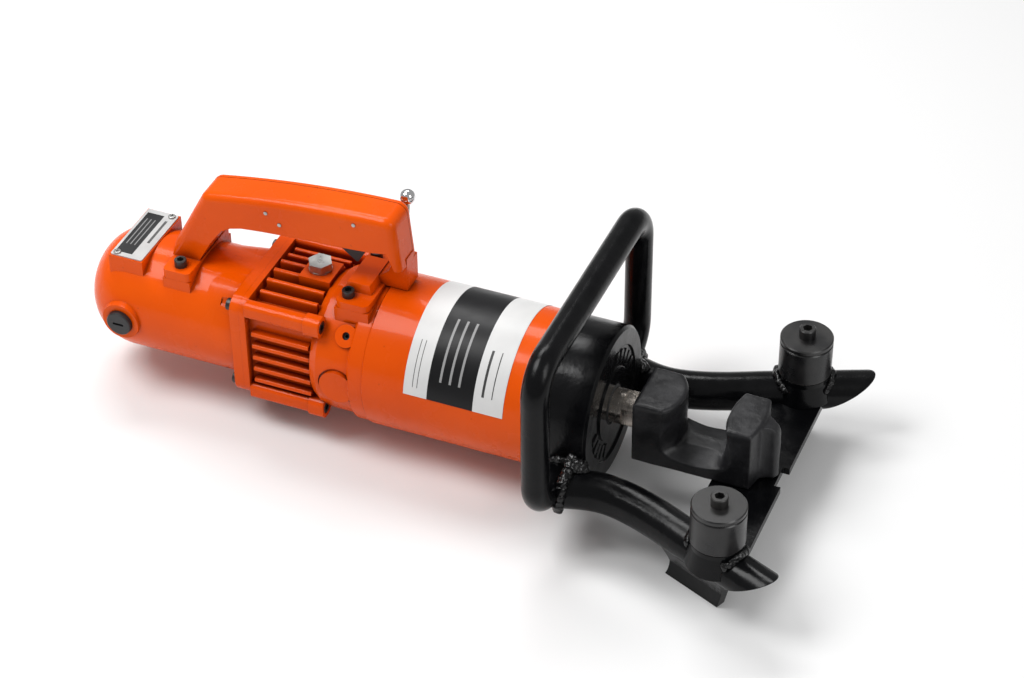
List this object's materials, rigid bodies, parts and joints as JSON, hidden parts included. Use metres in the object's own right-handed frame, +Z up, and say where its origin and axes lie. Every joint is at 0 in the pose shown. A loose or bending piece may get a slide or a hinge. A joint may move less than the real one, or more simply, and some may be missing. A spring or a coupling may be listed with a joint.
{
  "type": "portable electro-hydraulic rebar bender",
  "caption": "Hand-held electro-hydraulic rebar bender: motor, finned pump, ram with slotted bending head, two roller posts, rear grip with trigger and front bail.",
  "frame": {"origin": "middle of the bounding box, on the floor under the feet", "axes": "+X along the tool axis towards the bending head, +Y to the operator's left, +Z up"},
  "size_m": [0.5998, 0.2608, 0.2005],
  "materials": {
    "orange_paint": "gloss enamel on cast and drawn metal",
    "black_gloss_paint": "gloss black enamel",
    "black_forging": "matt black forging",
    "roller_steel": "blackened, semi-matt",
    "black_oxide": "black oxide",
    "zinc_plate": "zinc plated",
    "chrome_plate": "polished",
    "bare_aluminium": "satin",
    "rubber": "matt",
    "copper": "enamelled copper",
    "machined_steel": "machined",
    "carbon": "graphite",
    "black_plastic": "moulded",
    "label_film": "printed film",
    "lamination_steel": "laminated",
    "bronze": "turned"
  },
  "bodies": {
    "frame": {"motor_housing": "orange_paint", "nameplate": "bare_aluminium", "brush_holders": "black_plastic", "carbon_brushes": "carbon", "brush_springs": "machined_steel", "brush_caps": "black_plastic", "stator_core": "lamination_steel", "field_windings": "copper", "motor_bearings": "machined_steel", "bearing_plate": "bare_aluminium", "shaft_seal": "rubber", "flange_screws": "black_oxide", "pump_case": "orange_paint", "pump_block": "machined_steel", "plungers": "machined_steel", "plunger_springs": "machined_steel", "fill_plug": "zinc_plate", "bleed_screw": "black_oxide", "body_screws": "black_oxide", "rear_foot": "rubber", "cylinder_base": "machined_steel", "cylinder_tube": "orange_paint", "cylinder_label": "label_film", "front_cap": "black_gloss_paint", "gland_bush": "bronze", "rod_wiper": "rubber", "return_spring": "machined_steel", "front_handle": "black_gloss_paint", "right_arm": "black_gloss_paint", "left_arm": "black_gloss_paint", "post_bases": "black_gloss_paint", "post_pins": "machined_steel", "roller_caps": "black_oxide", "roller_screws": "black_oxide", "foot_plates": "black_gloss_paint", "cross_plate": "black_gloss_paint", "handle_body": "orange_paint", "handle_cover": "orange_paint", "cover_screws": "zinc_plate", "handle_screws": "black_oxide", "switch": "black_plastic", "trigger_pin": "machined_steel", "cord_gland": "black_plastic", "release_valve": "black_oxide", "weld_beads": "black_gloss_paint"},
    "ram": {"piston_rod": "machined_steel", "piston": "machined_steel", "piston_seals": "rubber", "bending_head": "black_forging"},
    "trigger": {"trigger": "black_plastic"},
    "release_lever": {"release_lever": "machined_steel", "lever_knob": "chrome_plate"},
    "right_roller": {"right_roller": "roller_steel"},
    "left_roller": {"left_roller": "roller_steel"},
    "rotor": {"armature_shaft": "machined_steel", "armature_core": "lamination_steel", "commutator": "copper", "cooling_fan": "black_plastic"},
    "eccentric": {"eccentric_shaft": "machined_steel", "driven_gear": "machined_steel"}
  },
  "joints": [
    {"name": "ram_slide", "type": "slide", "parent": "frame", "child": "ram", "axis": [1, 0, 0], "range_m": [0, 0.11], "stiffness_N_per_m": 1500, "springref_m": -0.02, "deforming": ["return_spring"]},
    {"name": "trigger_pull", "type": "hinge", "parent": "frame", "child": "trigger", "pos_m": [-0.05944, 0, 0.18], "axis": [0, 1, 0], "range_deg": [0, 9], "stiffness_Nm_per_rad": 0.4, "springref_deg": -11.46},
    {"name": "release_lever_swing", "type": "hinge", "parent": "frame", "child": "release_lever", "pos_m": [-0.05844, 0.044, 0.133], "axis": [0, -1, 0], "range_deg": [0, 35]},
    {"name": "right_roller_spin", "type": "hinge", "parent": "frame", "child": "right_roller", "pos_m": [0.24896, -0.1015, 0.07], "axis": [0, 0, 1], "continuous": true},
    {"name": "left_roller_spin", "type": "hinge", "parent": "frame", "child": "left_roller", "pos_m": [0.24896, 0.1015, 0.07], "axis": [0, 0, 1], "continuous": true},
    {"name": "rotor_spin", "type": "hinge", "parent": "frame", "child": "rotor", "pos_m": [-0.21844, 0, 0.07], "axis": [1, 0, 0], "continuous": true},
    {"name": "eccentric_spin", "type": "hinge", "parent": "frame", "child": "eccentric", "pos_m": [-0.12844, 0, 0.052], "axis": [1, 0, 0], "continuous": true}
  ],
  "couplings": [
    {"joint": "eccentric_spin", "follows": "rotor_spin", "ratio": -0.38462}
  ]
}
